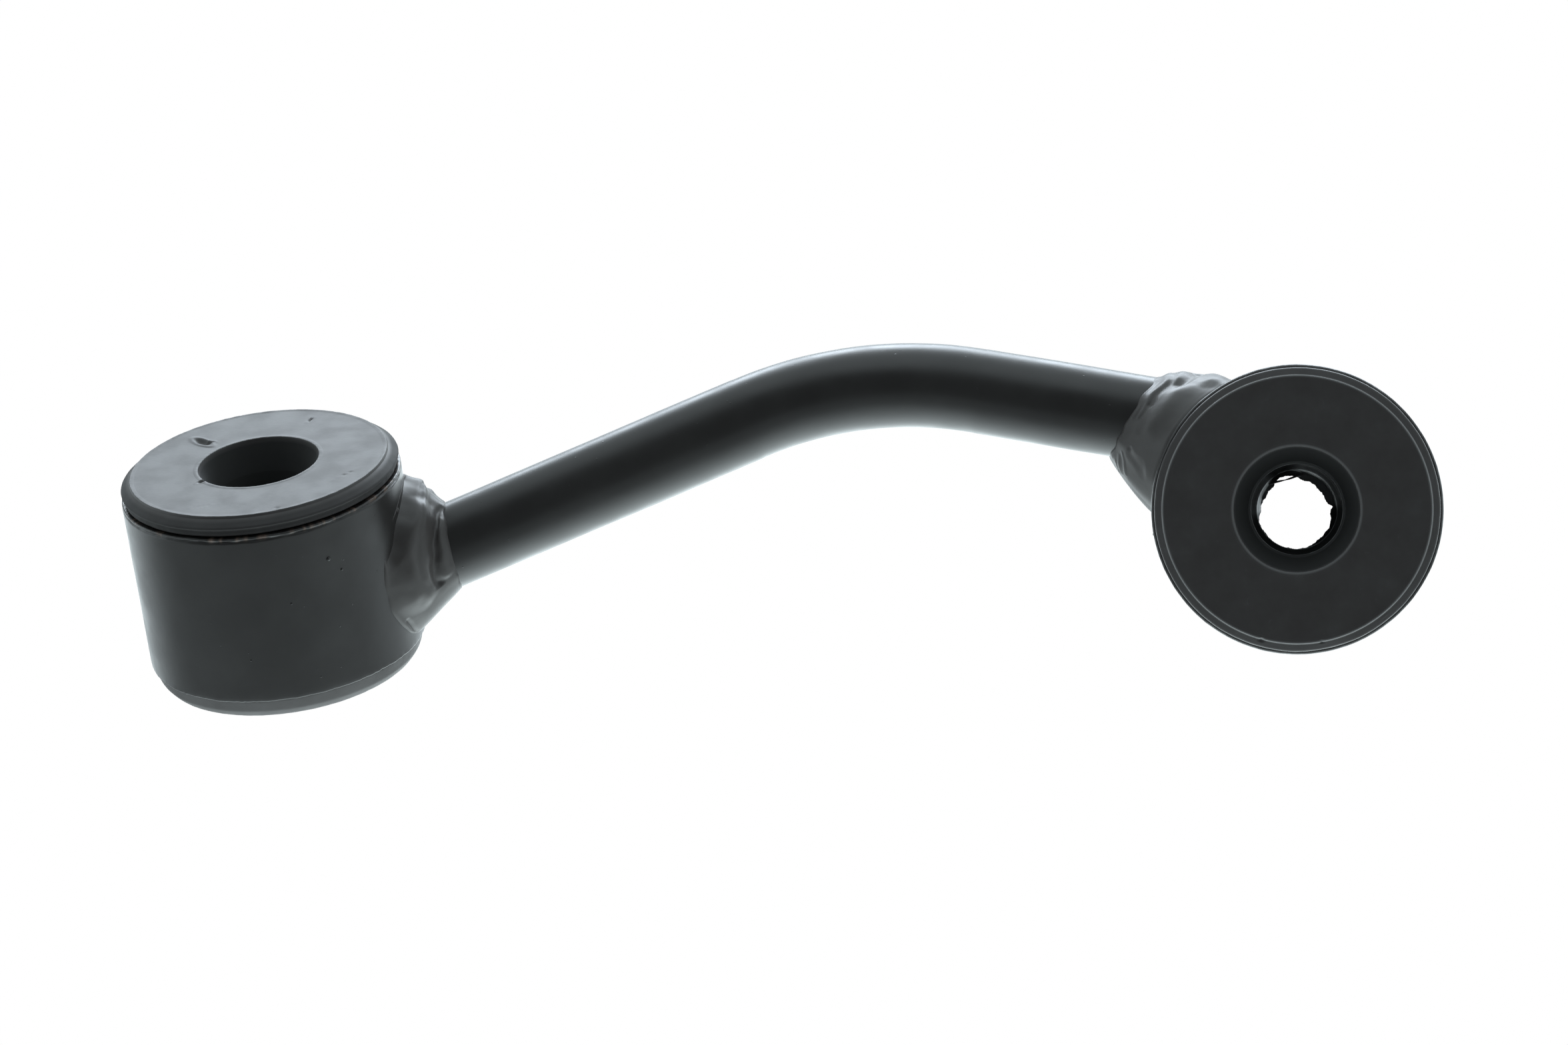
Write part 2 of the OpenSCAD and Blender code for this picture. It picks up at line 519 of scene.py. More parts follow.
def make_rod():
    """A cold-bent bar, a little flattened in the bend, whose ends sit in the tubes' walls."""
    angle = np.linspace(0, 2 * math.pi, ROD_AROUND, endpoint=False)
    towards_front = np.array((0, -1.0, 0))
    centres, directions, bends = rod_centres()
    rows = []
    for centre, direction, bend in zip(centres, directions, bends):
        upper = np.array((-direction[2] * np.sign(direction[0]), 0, abs(direction[0])))
        height = ROD_R * (1 - BEND_FLATTENED * bend) * np.cos(angle)
        width = ROD_R * (1 + BEND_SPREAD * bend) * np.sin(angle)
        rows.append(centre + height[:, None] * upper + width[:, None] * towards_front)
    rows = np.array(rows)
    outward = rows - centres[:, None, :]
    outward /= np.linalg.norm(outward, axis=-1, keepdims=True)
    waves = 0.035 * noise_at(rows, 9.0, 1) + 0.01 * noise_at(rows, 2.5, 2)
    rows = rows + outward * waves[..., None]
    right_end = rod_end(RIGHT_EYE, RIGHT_FOOT, TO_LEFT, -angle)
    left_end = rod_end(LEFT_EYE, LEFT_FOOT, TO_RIGHT, angle)
    rows = close_ends(join_ends(right_end, rows, left_end))
    make_piece("rod_bar", rows, capped_faces(rows), PAINT, "black_coat", "link", "link_rod")


def join_ends(first, rows, last):
    """The rows with an end loop on either side, and steps between them."""
    shares = np.linspace(0, 1, 9)[:-1]
    before = [first + (rows[0] - first) * share for share in shares]
    after = [last + (rows[-1] - last) * share for share in shares[::-1]]
    return np.array([*before, *rows, *after])


def close_ends(rows):
    """Adds shrinking loops at both ends, so that the caps have even faces."""
    shares = (0.05, 0.3, 0.6, 0.85)
    first, last = rows[0].mean(0), rows[-1].mean(0)
    before = [first + (rows[0] - first) * share for share in shares]
    after = [last + (rows[-1] - last) * share for share in shares[::-1]]
    return np.array([*before, *rows, *after])


def capped_faces(rows):
    """Quads along a tube, with one many-sided face to close each end."""
    count, columns = rows.shape[:2]
    faces = tube_faces(count, columns).tolist()
    faces.append(list(range(columns))[::-1])
    faces.append([(count - 1) * columns + column for column in range(columns)])
    return faces


# ---------------------------------------------------------------- turned pieces
def lathe(outline):
    """The outline turned about an eye's axis: each point's radius, height and angle."""
    turn = np.linspace(0, 2 * math.pi, AROUND, endpoint=False)
    radius = np.broadcast_to(outline[:, 0], (AROUND, len(outline)))
    height = np.broadcast_to(outline[:, 1], (AROUND, len(outline)))
    angle = np.broadcast_to(turn[:, None], radius.shape)
    return radius.copy(), height.copy(), angle


def to_points(radius, height, angle):
    return np.stack([radius * np.cos(angle), radius * np.sin(angle), height], -1)


def ring_outline(upper_round, lower_round):
    """The tube's wall: its outer edges rounded, and a bore that the bush hides.

    Each corner is (r, z, fillet radius, step to the next corner)."""
    return rounded_outline([
        (TUBE_R, TUBE_HALF, upper_round, 0.3),
        (TUBE_BORE_R, TUBE_HALF, 0.3, 2.5),
        (TUBE_BORE_R, -TUBE_HALF, 0.3, 0.3),
        (TUBE_R, -TUBE_HALF, lower_round, 0.45),
        (TUBE_R, TUBE_HALF - 1.5, 0, 0.1),
    ])


def make_ring(name, eye, node, upper_round, lower_round, groove, seed):
    """An eye's steel tube, with saw-cut ends that the paint has left ragged.

    The groove is the depth of a line of wear just below its upper end, where the paint has
    chipped too. A tube whose groove is 0 has neither."""
    radius, height, angle = lathe(ring_outline(upper_round, lower_round))
    smooth = to_points(radius, height, angle)
    outside = smooth_step(radius, TUBE_R - 1.6, TUBE_R - 0.2)
    rim = smooth_step(np.abs(height), TUBE_HALF - 1.2, TUBE_HALF - 0.2)
    rim = rim * smooth_step(radius, TUBE_BORE_R + 0.3, TUBE_BORE_R + 1.2)
    burr = 0.08 * ring_noise(angle, 45, seed) + 0.06 * ring_noise(angle, 150, seed + 1)
    cut = 0.08 * ring_noise(angle, 5, seed + 2) - 0.06
    body = 0.03 * noise_at(smooth, 7.0, seed + 3) + 0.003 * noise_at(smooth, 1.6, seed + 4)
    ragged = np.clip(0.8 + 0.9 * ring_noise(angle, 30, seed + 5), 0, 1.3)
    line = TUBE_HALF - 0.55 - 0.08 * ring_noise(angle, 50, seed + 6)
    worn_line = groove * outside * bump(height, line, 0.34) * ragged
    radius = radius + outside * (body - 0.03) + rim * (0.4 * burr - 0.03) - worn_line
    height = height + np.sign(height) * rim * np.minimum(cut + burr, 0.02)
    patches = ring_noise(angle, 40, seed + 7) + ring_noise(angle, 110, seed + 8)
    chips = smooth_step(patches, 0.05, 0.5) * (groove > 0)
    chips = chips * outside * bump(height, TUBE_HALF - 0.25, 0.6)
    points = eye.world(to_points(radius, height, angle))
    faces = torus_faces(*radius.shape)
    piece = make_piece(name, points, faces, PAINT, "black_coat", "link", node)
    hold_values(piece, "chipped", chips)


def bush_half(lip):
    """Half of a bush's outline, from its waist to its face and down to the hidden sleeve.

    Each corner is (r, z, fillet radius, step to the next corner)."""
    return [
        (WAIST_R, WAIST_HALF, 0.5, 0.5),
        (BORE_R, WAIST_HALF + SHOULDER, 0.5, 0.9),
        (BORE_R, BUSH_HALF - FUNNEL - 1.4, 1.0, 0.3),
        (BORE_R + 0.35, BUSH_HALF - FUNNEL, 0.9, 0.55),
        (MOUTH_R - 0.12, BUSH_HALF - 0.4, 0.1, 0.12),
        (MOUTH_R, BUSH_HALF, 0.14, 0.12),
        (MOUTH_R + 0.3, BUSH_HALF, 0.12, 0.12),
        (MOUTH_R + 0.7, BUSH_HALF - 0.07, 0.5, 0.36),
        (FACE_R - 0.6, BUSH_HALF - 0.07, 0.5, 0.14),
        (FACE_R - 0.16, BUSH_HALF, 0.1, 0.1),
        (FACE_R + 0.04, BUSH_HALF, 0.08, 0.1),
        *lip,
        (TUBE_BORE_R - BUSH_GAP, TUBE_HALF + BUSH_GAP, 0, 3.0),
    ]


def raised_lip(lip_r, drop):
    """A lip whose cone drops to its rim, with a groove between the rim and the tube's end."""
    return [
        (FACE_R + 0.2, BUSH_HALF - 0.4, 0.1, 0.16),
        (lip_r - 0.1, BUSH_HALF - drop, 0.35, 0.2),
        (lip_r, BUSH_HALF - 1.6, 0.15, 0.2),
        (lip_r - 0.45, BUSH_HALF - 1.9, 0.15, 0.2),
        (lip_r - 0.3, TUBE_HALF + 0.6, 0.1, 0.2),
        (lip_r - 0.4, TUBE_HALF + 0.25, 0.1, 0.6),
    ]


def seated_lip():
    """A lip that is one leaning, rounded wall down to the tube's end, which it sits on."""
    return [
        (FACE_R + 0.9, BUSH_HALF - 1.1, 1.5, 0.16),
        (TUBE_R - 0.25, TUBE_HALF - 0.25, 0.1, 0.3),
    ]


def bush_outline(lip_r, drop):
    """One closed outline of the bush, with a raised lip above and a seated lip below."""
    upper = bush_half(raised_lip(lip_r, drop))
    lower = bush_half(seated_lip())
    waist_step = 0.25
    steps = [waist_step] + [LOWER_COARSER * corner[3] for corner in lower]
    mirrored = [(r, -z, fillet, step) for (r, z, fillet, _), step in zip(lower, steps)]
    return rounded_outline(upper + mirrored[::-1])


def make_bush(name, eye, node, lip_r, drop, painted_light, lip_shade, defects, seed):
    """A moulded rubber bush with its flash, nicks and soft unevenness.

    Its upper lip has that radius, and drops that far from the end face to its rim. The next value
    sets how strong a painted highlight the edges of its end faces get, and the one after it how much
    painted shade darkens its upper lip."""
    radius, height, angle = lathe(bush_outline(lip_r, drop))
    smooth = to_points(radius, height, angle)
    lip = smooth_step(radius, FACE_R + 0.3, LIP_R - 0.4)
    uneven = 0.05 * noise_at(smooth, 5.0, seed) + 0.015 * noise_at(smooth, 1.3, seed + 1)
    radius = radius + lip * (uneven + 0.015 * ring_noise(angle, 90, seed + 2) - 0.04)
    height = height + ragged_edges(radius, height, angle, seed)
    groove = bump(height, TUBE_HALF + 0.75, 0.9) * smooth_step(radius, 20.0, 20.3)
    radius = radius + groove * (0.1 * ring_noise(angle, 55, seed + 10) - 0.05)
    rubbed_and_highlit = rubbed_and_highlit_arcs(angle) * (radius < BORE_R - 0.05)
    # Painted shade: half strength in the groove under the lip, and over the upper lip by the given
    # amount
    shade_in_groove_and_lip = np.maximum(0.5 * groove, lip_shade * lip * (height > 0))
    marks = rubber_marks(radius, height, rubbed_and_highlit, shade_in_groove_and_lip, painted_light)
    taper = smooth_step(np.abs(height), 0.5, WAIST_HALF)
    radius = radius + (0.45 * taper - 0.5) * rubbed_and_highlit * (radius < WAIST_R + 0.3)
    radius, height = add_flash(radius, height, angle, seed)
    points = to_points(radius, height, angle)
    for defect in defects:
        points = defect(points)
    faces = torus_faces(*radius.shape)
    piece = make_piece(name, eye.world(points), faces, RUBBER, "bush_rubber", node, node)
    for mark, values in marks.items():
        hold_values(piece, mark, values)


def ragged_edges(radius, height, angle, seed):
    """How far wear has taken the edges of the end faces back along the bush."""
    rim = bump(radius, FACE_R - 0.1, 0.5) + bump(radius, MOUTH_R + 0.15, 0.5)
    end = smooth_step(np.abs(height), BUSH_HALF - 0.5, BUSH_HALF - 0.1)
    wear_and_highlight = 0.03 * ring_noise(angle, 40, seed + 3) + 0.03 * ring_noise(angle, 130, seed + 4) - 0.03
    return np.sign(height) * rim * end * np.minimum(wear_and_highlight, 0.0)


def rubber_marks(radius, height, rubbed_and_highlit, shade_in_groove_and_lip, painted_light):
    """The mesh values for painted shade, which darkens and roughens the rubber, and for a painted
    highlight, which lightens and polishes it.
    """
    inside = 1 - smooth_step(radius, MOUTH_R - 0.2, MOUTH_R - 0.05)
    # Painted highlight: a light line along each end face's edge, a fainter one on the mouth's rim,
    # and half strength on the waist's arcs
    edges = bump(radius, FACE_R + 0.05, 0.28) + 0.5 * bump(radius, MOUTH_R + 0.12, 0.3)
    edges = painted_light * edges * smooth_step(np.abs(height), BUSH_HALF - 0.45, BUSH_HALF - 0.1)
    # Painted shade inside the bore, away from the two arcs, plus the groove and upper lip shade
    return {"painted_shade": inside * (1 - rubbed_and_highlit) + shade_in_groove_and_lip, "wear_and_highlight": np.maximum(0.5 * rubbed_and_highlit, edges)}


def rubbed_and_highlit_arcs(angle):
    """1 in the two arcs where pins have polished the waist and tapered it with wear, and where the
    rubber is painted lighter as a painted highlight.
    """
    arcs = bump(turn_gap(angle, math.radians(50)), 0, math.radians(62))
    arcs = arcs + bump(turn_gap(angle, math.radians(160)), 0, math.radians(42))
    return smooth_step(arcs, 0.0, 0.5)


def add_flash(radius, height, angle, seed):
    """Draws the waist in to a ragged, off-centre web of flash at the mould's parting line."""
    inside = 1 - smooth_step(radius, WAIST_R + 0.1, WAIST_R + 0.8)
    web = inside * bump(height, 0.0, 0.9)
    aside = -0.55 * np.cos(turn_gap(angle, math.radians(230)))
    torn = 0.16 * np.tanh(2 * ring_noise(angle, 9, seed + 5)) + 0.12 * ring_noise(angle, 26, seed + 6)
    frayed = 0.07 * ring_noise(angle, 70, seed + 7) + 0.04 * ring_noise(angle, 150, seed + 9)
    nick = 0.45 * bump(turn_gap(angle, math.radians(5)), 0, math.radians(6))
    depth = np.maximum(0.56 + aside + torn + frayed - nick, 0.02)
    wobble = 0.25 * ring_noise(angle, 9, seed + 8)
    return radius - web * depth, height + web * wobble


def dent(x, y, length, width, turn, depth, rim):
    """A lens-shaped gouge in the upper end face, with a little rubber raised round it."""

    def apply(points):
        across = points[..., 0] - x, points[..., 1] - y
        along = across[0] * math.cos(turn) + across[1] * math.sin(turn)
        over = across[1] * math.cos(turn) - across[0] * math.sin(turn)
        reach = np.hypot(along / length, over / width)
        facing = smooth_step(points[..., 2], BUSH_HALF - 0.8, BUSH_HALF - 0.2)
        hollow = -depth * (1 - smooth_step(reach, 0.25, 1.0))
        raised = rim * bump(reach, 1.15, 0.45)
        moved = points.copy()
        moved[..., 2] += facing * (hollow + np.minimum(raised, 0.12))
        return moved

    return apply


# Each gouge or scratch is (x, y, half its length, half its width, turn, depth, raised rim).
LEFT_DEFECTS = [
    dent(-10.9, 8.7, 2.2, 0.8, -0.72, 0.45, 0.12),
    dent(-9.6, 8.3, 0.8, 0.5, 0.4, 0.3, 0.08),
    dent(4.9, 15.2, 0.9, 0.28, 1.2, 0.35, 0.05),
    dent(-7.3, -6.3, 0.9, 0.5, 0.7, 0.5, 0.05),
    dent(6.9, -17.6, 0.35, 0.3, 0.0, 0.3, 0.04),
    dent(15.0, -6.5, 2.4, 0.12, 0.9, 0.1, 0.03),
    dent(-5.0, -15.5, 1.8, 0.12, 0.2, 0.08, 0.03),
]
RIGHT_DEFECTS = [
    dent(-5.2, -19.2, 0.6, 0.4, 0.4, 0.35, 0.05),
    dent(3.6, -19.4, 0.4, 0.35, 0.0, 0.3, 0.04),
    dent(12.9, -16.2, 0.9, 0.4, 0.8, 0.4, 0.06),
]


# ---------------------------------------------------------------- welds
# A bead's radius and width, in millimetres, which turn a stroke's path into distances
BEAD_R = 8.0
BEAD_WIDTH = 9.0


def weld_toes(eye, foot, direction, angle, shape, seed):
    """The corner between tube and rod, the bead's toes on each, and the rod's normals."""
    start, along, outward = rod_lines(eye, foot, direction, angle)
    corner = start + reach_to_tube(start, along, TUBE_R)[:, None] * along
    turns = np.arctan2(corner[:, 1], corner[:, 0])
    middle = math.atan2(corner[:, 1].mean(), corner[:, 0].mean())
    wrapped = TUBE_R * turn_gap(turns, middle)
    away = np.stack([wrapped - wrapped.mean(), corner[:, 2] - corner[:, 2].mean()], -1)
    away /= np.linalg.norm(away, axis=1, keepdims=True)
    leg = loop_through(angle, shape["tube_leg"]) + 0.4 * ring_noise(angle, 12, seed)
    toe_height = soft_limit(corner[:, 2] + away[:, 1] * leg, TUBE_HALF - 0.9, 1.5)
    toe_turn = middle + (wrapped + away[:, 0] * leg) / TUBE_R
    tube_toe = to_points(np.full_like(angle, TUBE_R), toe_height, toe_turn)
    normal = np.array((math.cos(middle), math.sin(middle), 0))
    rise = loop_through(angle, shape["rise"]) + 0.35 * ring_noise(angle, 11, seed + 1)
    rod_leg = (TUBE_R + rise - corner @ normal) / (along @ normal)
    rod_toe = corner + rod_leg[:, None] * along
    return corner, tube_toe, rod_toe, outward


def weld_curves(corner, tube_toe, rod_toe, fullness, across):
    """One curved section per angle, from the tube's toe at 0 to the rod's toe at 1."""
    control = corner + fullness[:, None] * ((tube_toe - corner) + (rod_toe - corner))
    shares = (1 - across) ** 2, 2 * across * (1 - across), across**2
    ends = tube_toe, control, rod_toe
    return sum(share[None, :, None] * end[:, None, :] for share, end in zip(shares, ends))


def make_weld(name, eye, node, foot, direction, shape, seed):
    """A lumpy fillet round the rod, from its toe on the tube to its toe on the rod.

    Rows go round the rod. Columns go from the tube over the bead to the rod, and back
    through the steel, so that the mesh is closed."""
    turn = np.linspace(0, 2 * math.pi, WELD_AROUND, endpoint=False)
    corner, tube_toe, rod_toe, outward = weld_toes(eye, foot, direction, turn, shape, seed)
    line = np.linspace(0, 1, WELD_OVER)
    curve = weld_curves(corner, tube_toe, rod_toe, loop_through(turn, shape["fullness"]), line)
    tube_normal = tube_toe * (1, 1, 0) / TUBE_R
    share = line[None, :, None]
    lift = tube_normal[:, None, :] * (1 - share) + outward[:, None, :] * share
    lift /= np.linalg.norm(lift, axis=-1, keepdims=True)
    angle, across = np.broadcast_arrays(turn[:, None], line[None, :])
    toes = smooth_step(across, 0.0, 0.05) * smooth_step(1 - across, 0.0, 0.05)
    hold = smooth_step(across, 0.0, 0.12) * smooth_step(1 - across, 0.0, 0.22)
    height = hold * weld_relief(curve, angle, across, shape, seed) - 0.28 * (1 - toes)
    curve = curve + lift * height[..., None]
    back = [
        rod_toe - 1.6 * outward,
        corner - 1.2 * outward - 1.0 * tube_normal,
        tube_toe - 1.4 * tube_normal,
    ]
    points = np.concatenate([curve, np.stack(back, 1)], 1)
    faces = torus_faces(*points.shape[:2])
    make_piece(name, eye.world(points), faces, WELD_PAINT, "black_coat", "link", node)


def nearness(angle, across, path, width):
    """1 on a path over the bead, falling to 0 at the width to either side of it.

    The path's points are (degrees round the rod, place from tube to rod)."""
    first = math.radians(path[0][0])
    x, y = BEAD_R * turn_gap(angle, first), BEAD_WIDTH * across
    route = [
        (BEAD_R * turn_gap(math.radians(degrees), first), BEAD_WIDTH * place)
        for degrees, place in path
    ]
    route = route if len(route) > 1 else route * 2
    gap = np.full(x.shape, np.inf)
    for (x0, y0), (x1, y1) in zip(route, route[1:]):
        dx, dy = x1 - x0, y1 - y0
        length = max(dx * dx + dy * dy, 1e-9)
        share = np.clip(((x - x0) * dx + (y - y0) * dy) / length, 0, 1)
        gap = np.minimum(gap, np.hypot(x - x0 - share * dx, y - y0 - share * dy))
    return bump(gap, 0, width)


def weld_relief(curve, angle, across, shape, seed):
    """Height of the bead's lobes, laps, creases and lumps above a smooth fillet."""
    wander = 0.07 * noise_at(curve, 2.5, seed + 3)
    relief = loop_through(angle, shape["crown"]) * np.sin(math.pi * across)
    for height, width, path in shape["strokes"]:
        relief = relief + height * nearness(angle + wander, across + 0.4 * wander, path, width)
    lumps = 0.3 * noise_at(curve, 4.5, seed + 6) + 0.07 * noise_at(curve, 2.0, seed + 7)
    fine = 0.006 * noise_at(curve, 0.7, seed + 8)
    return relief + loop_through(angle, shape["lumps"]) * lumps + fine


# Each list goes round the rod from its upper side in equal steps. The right bead's third
# value is on its far side and the left bead's on its near side. tube_leg is how far the bead
# spreads over the tube, and rise how far its toe on the rod stands off the tube. Its section
# is straight where fullness is 0.5, and bulges where it is more. crown is how far it swells
# above that, and lumps how uneven it is. A stroke is (height, half its width, path): the
# lobes, ridges and creases of the weld's passes.
RIGHT_WELD_SHAPE = {
    "tube_leg": [2.2, 4.2, 5.8, 6.8, 7.4, 6.8, 5.8, 4.2],
    "rise": [7.6, 7.2, 6.8, 6.2, 5.8, 6.1, 6.9, 7.5],
    "fullness": [0.52, 0.46, 0.44, 0.52, 0.58, 0.54, 0.48, 0.48],
    "crown": [0.8, 0.5, 0.2, 0.0, 0.0, 0.1, 0.3, 0.7],
    "lumps": [0.4, 0.8, 0.9, 0.5, 0.2, 0.2, 0.4, 0.4],
    "strokes": [
        (0.3, 1.0, [(352, 0.84), (320, 0.84), (270, 0.85)]),
        (-0.15, 0.8, [(350, 0.7), (310, 0.72), (285, 0.74)]),
        (-0.4, 1.2, [(356, 0.44), (335, 0.5), (315, 0.54)]),
        (0.5, 2.0, [(358, 0.2), (335, 0.2), (320, 0.15)]),
        (0.35, 1.8, [(358, 0.64), (340, 0.66), (325, 0.68)]),
        (0.4, 3.2, [(295, 0.4), (268, 0.45)]),
        (-0.18, 0.6, [(238, 0.66)]),
        (-0.2, 1.2, [(233, 0.6), (228, 0.3)]),
        (0.12, 0.5, [(226, 0.8), (209, 0.6)]),
        (0.12, 0.5, [(216, 0.84), (199, 0.68)]),
        (0.1, 0.4, [(206, 0.86), (190, 0.74)]),
        (0.5, 2.2, [(30, 0.4), (80, 0.35), (120, 0.4)]),
        (-0.5, 0.9, [(20, 0.62), (70, 0.6), (130, 0.66)]),
        (0.4, 1.2, [(40, 0.82), (90, 0.8), (150, 0.84)]),
    ],
}
LEFT_WELD_SHAPE = {
    "tube_leg": [7.0, 7.6, 8.0, 6.4, 4.6, 5.5, 7.0, 7.0],
    "rise": [5.6, 5.8, 6.2, 6.6, 6.8, 6.4, 6.0, 5.8],
    "fullness": [0.48, 0.44, 0.42, 0.46, 0.52, 0.45, 0.42, 0.46],
    "crown": [0.5, 0.3, 0.1, 0.0, 0.0, 0.0, 0.1, 0.3],
    "lumps": [0.6, 0.6, 0.5, 0.3, 0.2, 0.5, 0.9, 0.9],
    "strokes": [
        (-1.0, 2.0, [(28, 0.1), (60, 0.15), (85, 0.1)]),
        (0.85, 3.2, [(58, 0.46), (90, 0.42), (125, 0.42)]),
        (0.3, 1.3, [(25, 0.5), (60, 0.6), (115, 0.62)]),
        (-0.6, 0.9, [(35, 0.92), (55, 0.83), (82, 0.76), (130, 0.71)]),
        (0.35, 1.0, [(60, 0.93), (90, 0.9), (125, 0.86)]),
        (0.3, 0.35, [(86, 0.97), (93, 0.96)]),
        (0.6, 2.2, [(2, 0.3), (15, 0.34)]),
        (0.35, 1.4, [(6, 0.7)]),
        (0.5, 0.35, [(58, 0.1)]),
        (-0.3, 0.5, [(140, 0.1), (165, 0.06)]),
        (0.6, 2.2, [(220, 0.4), (270, 0.35)]),
        (0.4, 1.2, [(230, 0.74), (310, 0.7)]),
        (-0.5, 0.9, [(205, 0.56), (250, 0.57), (310, 0.52)]),
    ],
}


# ---------------------------------------------------------------- specks in the paint
# Nibs of paint along the rim of each end of a tube: how many, their radii, and where they sit
NIBS_PER_END = 26
NIB_SIZES = (0.1, 0.2)
NIB_R = TUBE_R - 0.42
NIB_HEIGHT = TUBE_HALF - 0.32
# Weld spatter, as (degrees round the tube, height along it, radius)
LEFT_SPATTER = [(-52, 7.6, 0.32), (-47, 5.2, 0.2), (-70, 2.0, 0.16), (-90, -6.5, 0.14)]
RIGHT_SPATTER = [(190, 8.5, 0.25), (120, 9.5, 0.2), (205, 5.0, 0.15)]


def add_speck(cloud, place, outward, size):
    """A low rounded bead, half sunk in the surface."""
    turn = Vector(outward).to_track_quat("Z", "Y").to_matrix().to_4x4()
    shape = Matrix.Diagonal((size, size, 0.7 * size, 1))
    where = Matrix.Translation(Vector(place) * MM)
    bmesh.ops.create_icosphere(cloud, subdivisions=3, radius=MM, matrix=where @ turn @ shape)


def make_specks(name, eye, spots, seed):
    """Weld spatter at given spots, and paint nibs along the rims of the tube's ends."""
    cloud = bmesh.new()
    for degrees, height, size in spots:
        turn = math.radians(degrees)
        outward = np.array((math.cos(turn), math.sin(turn), 0))
        place = (TUBE_R + 0.1 * size) * outward + (0, 0, height)
        add_speck(cloud, eye.world(place), outward @ eye.axes, size)
    chance = random.Random(seed)
    for end in (-1, 1):
        for _ in range(NIBS_PER_END):
            turn = chance.uniform(0, 2 * math.pi)
            outward = np.array((math.cos(turn), math.sin(turn), 0.9 * end))
            place = np.array((NIB_R * outward[0], NIB_R * outward[1], end * NIB_HEIGHT))
            size = chance.uniform(*NIB_SIZES)
            add_speck(cloud, eye.world(place), unit(outward) @ eye.axes, size)
    mesh = bpy.data.meshes.new(name)
    cloud.to_mesh(mesh)
    cloud.free()
    add_piece(name, mesh, PAINT, "black_coat", "link")


def make_strand(name, eye, body):
    """A loose strand of flash across the edge of the waist's hole."""
    share = np.linspace(0, 1, STRAND_RINGS)
    first_turn, sweep = 138, 58
    angle = np.radians(first_turn - sweep * share)
    radius = WAIST_R - 0.35 - 0.75 * np.sin(math.pi * share) - 0.3 * share
    height = 1.2 + 0.2 * np.sin(5 * share)
    centres = to_points(radius, height, angle)
    along = np.gradient(centres, axis=0)
    along /= np.linalg.norm(along, axis=1, keepdims=True)
    side = np.cross(along, (0, 0, 1.0))
    turn = np.linspace(0, 2 * math.pi, STRAND_AROUND, endpoint=False)
    thick = 0.07 + 0.08 * np.abs(np.sin(7 * share)) + 0.05 * np.cos(math.pi * share) ** 4
    ring = np.cos(turn)[None, :, None] * side[:, None] + np.sin(turn)[None, :, None] * (0, 0, 1.0)
    rows = close_ends(centres[:, None] + thick[:, None, None] * ring)
    make_piece(name, eye.world(rows), capped_faces(rows), RUBBER, "bush_rubber", body)


# ---------------------------------------------------------------- studio, in metres
CAMERA_DISTANCE = 0.640
CAMERA_YAW = math.radians(6.942)
CAMERA_PITCH = math.radians(-0.178)
LENS_MM = 96.71
SENSOR_MM = 36.0
FLOOR_DROP = 0.6
FLOOR_HALF = 1.6
FLOOR_FRONT = -1.2
FLOOR_BACK = 2.4
WHITE = (1, 1, 1, 1)
COOL_WHITE = (0.89, 1.0, 1.04, 1)


def add_camera():
    """A long lens that looks along +Y from in front of the right eye."""
    data = bpy.data.cameras.new("camera")
    data.sensor_width = SENSOR_MM
    data.lens = LENS_MM
    data.clip_start = 0.01
    camera = bpy.data.objects.new("camera", data)
    camera.location = (0, -CAMERA_DISTANCE, 0)
    camera.rotation_euler = (math.pi / 2 + CAMERA_PITCH, 0, CAMERA_YAW)
    bpy.context.scene.collection.objects.link(camera)
    bpy.context.scene.camera = camera


def add_floor():
    """A lit white table, well below the part, so that nothing casts a shadow in view.

    It shines in the middle and towards the back, as a table lit from behind does."""
    mesh = bpy.data.meshes.new("floor")
    front = [(-FLOOR_HALF, FLOOR_FRONT, 0), (FLOOR_HALF, FLOOR_FRONT, 0)]
    back = [(FLOOR_HALF, FLOOR_BACK, 0), (-FLOOR_HALF, FLOOR_BACK, 0)]
    mesh.from_pydata(front + back, [], [(0, 1, 2, 3)])
    floor = bpy.data.objects.new("floor", mesh)
    floor.location.z = -FLOOR_DROP
    bpy.context.scene.collection.objects.link(floor)
    material, tree, shader = new_material("white_table", Roughness=0.7)
    shader.inputs["Base Color"].default_value = (0.2, 0.2, 0.2, 1)
    shader.inputs["Emission Color"].default_value = (0.88, 1, 1.02, 1)
    coordinates = tree.nodes.new("ShaderNodeTexCoord")
    parts = tree.nodes.new("ShaderNodeSeparateXYZ")
    tree.links.new(coordinates.outputs["Object"], parts.inputs[0])
    lengthwise = add_range(tree, parts.outputs["Y"], -0.55, 0.3, 0, 2.65)
    sideways = add_maths(tree, "ABSOLUTE", parts.outputs["X"], 0)
    sideways = add_range(tree, sideways, 0.05, 1.1, 1, 0)
    glow = add_maths(tree, "ADD", add_maths(tree, "MULTIPLY", lengthwise, sideways), 0.22)
    seen = tree.nodes.new("ShaderNodeLightPath").outputs["Is Camera Ray"]
    tree.links.new(add_maths(tree, "MAXIMUM", glow, seen), shader.inputs["Emission Strength"])
    mesh.materials.append(material)


def add_soft_light(name, place, aim, size, power):
    """A cool rectangular light that faces a point."""
    data = bpy.data.lights.new(name, "AREA")
    data.shape = "RECTANGLE"
    data.size, data.size_y = size
    data.energy = power
    data.color = (0.9, 1.0, 1.1)
    light = bpy.data.objects.new(name, data)
    light.location = place
    light.rotation_euler = (Vector(aim) - Vector(place)).to_track_quat("-Z", "Y").to_euler()
    bpy.context.scene.collection.objects.link(light)


